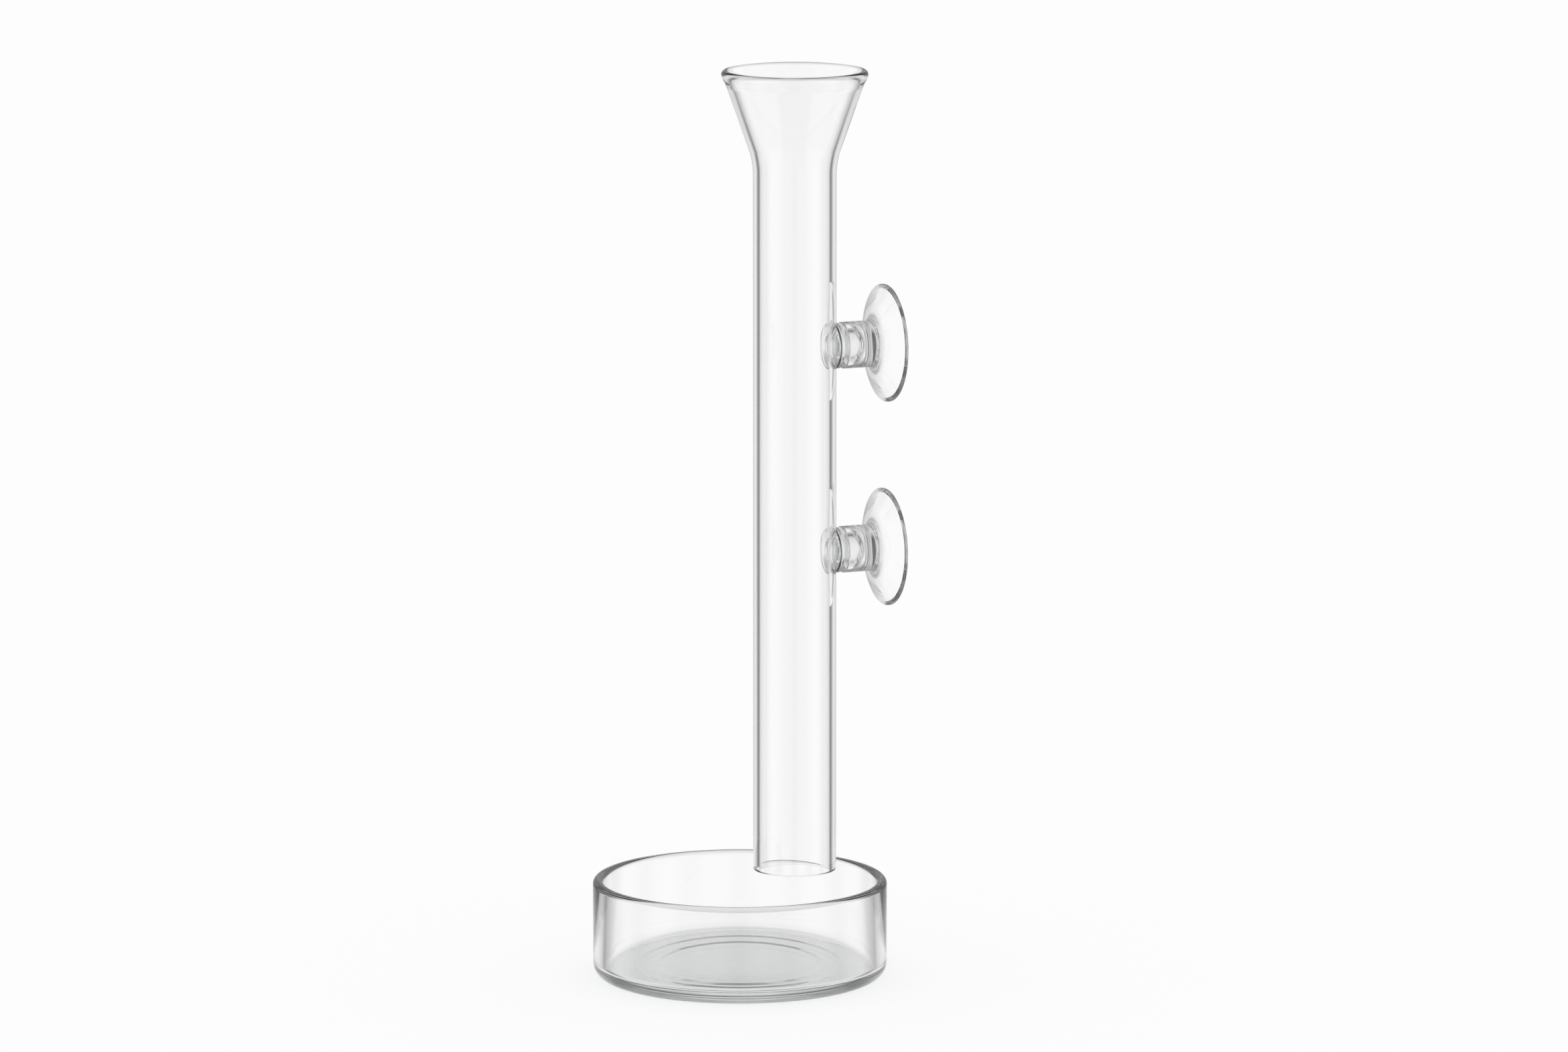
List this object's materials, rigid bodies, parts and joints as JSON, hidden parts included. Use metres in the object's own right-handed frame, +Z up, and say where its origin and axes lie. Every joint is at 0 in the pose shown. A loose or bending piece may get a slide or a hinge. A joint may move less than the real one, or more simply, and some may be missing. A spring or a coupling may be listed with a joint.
{
  "type": "aquarium feeding tube set",
  "caption": "Clear glass feeding tube with a flared funnel mouth, held by suction cups on glass studs, above a round glass feeding dish.",
  "frame": {"origin": "centre of the dish's flat underside", "axes": "+Z up along the feeding tube; +X towards the tank wall that the suction cups stick on; +Y completes a right-handed frame"},
  "size_m": [0.062, 0.06, 0.1854],
  "materials": {
    "clear_glass": "clear borosilicate glass, fire polished",
    "fused_glass": "clear glass, lampworked and fused on",
    "clear_soft_pvc": "soft clear vinyl, glossy from the mould"
  },
  "bodies": {
    "dish": {"feeding_dish": "clear_glass"},
    "tube": {"feeding_tube": "clear_glass", "upper_stud": "fused_glass", "lower_stud": "fused_glass"},
    "upper_cup": {"upper_suction_cup": "clear_soft_pvc"},
    "lower_cup": {"lower_suction_cup": "clear_soft_pvc"}
  },
  "joints": [
    {"name": "tube_height", "type": "slide", "parent": "dish", "child": "tube", "axis": [0, 0, 1], "range_m": [-0.016, 0.08]},
    {"name": "upper_cup_spin", "type": "hinge", "parent": "tube", "child": "upper_cup", "pos_m": [0.024, 0, 0.1288], "axis": [1, 0, 0], "continuous": true},
    {"name": "lower_cup_spin", "type": "hinge", "parent": "tube", "child": "lower_cup", "pos_m": [0.024, 0, 0.0868], "axis": [1, 0, 0], "continuous": true}
  ]
}
